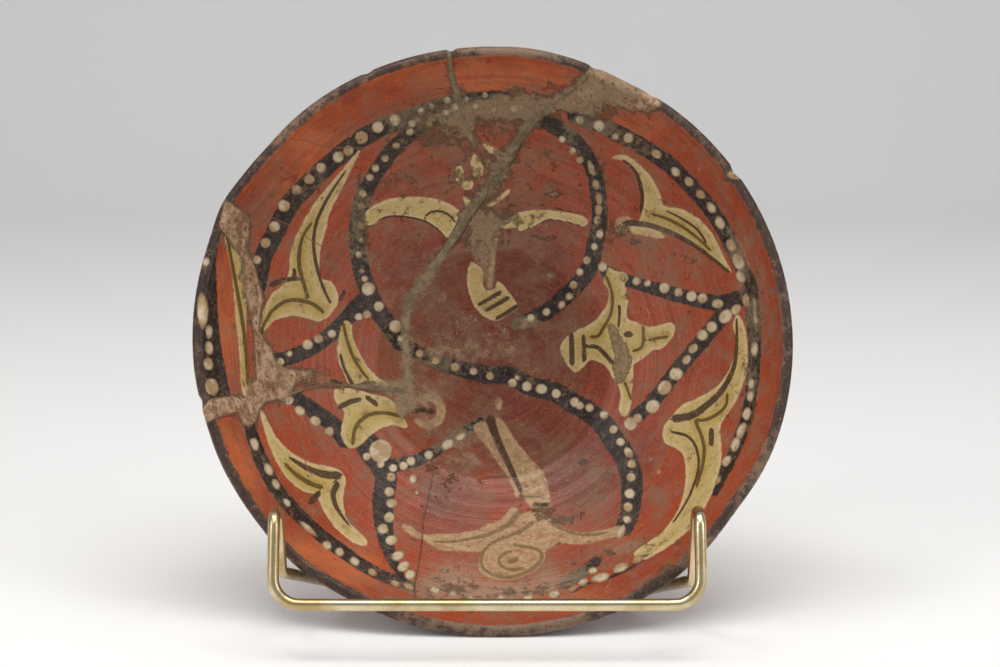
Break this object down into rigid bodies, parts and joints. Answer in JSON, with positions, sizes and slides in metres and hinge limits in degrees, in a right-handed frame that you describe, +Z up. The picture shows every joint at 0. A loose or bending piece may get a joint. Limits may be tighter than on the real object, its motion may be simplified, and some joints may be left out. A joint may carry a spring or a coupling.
{
  "type": "pottery bowl",
  "caption": "Shallow footed pottery bowl with a painted slip inside, mended from sherds, leaning in a bent brass wire display stand.",
  "frame": {"origin": "on the table, under the middle of the box of bowl and stand together", "axes": "+X to the viewer's right across the open bowl, +Y away from the viewer, behind the bowl, +Z up"},
  "size_m": [0.21, 0.1466, 0.1963],
  "materials": {
    "slipped_pottery": "red-brown slip painted in black, cream and olive under a thin worn glaze",
    "brass_wire": "drawn wire, dulled by handling"
  },
  "bodies": {
    "root": {"bowl": "slipped_pottery", "wire_stand": "brass_wire"}
  },
  "joints": []
}
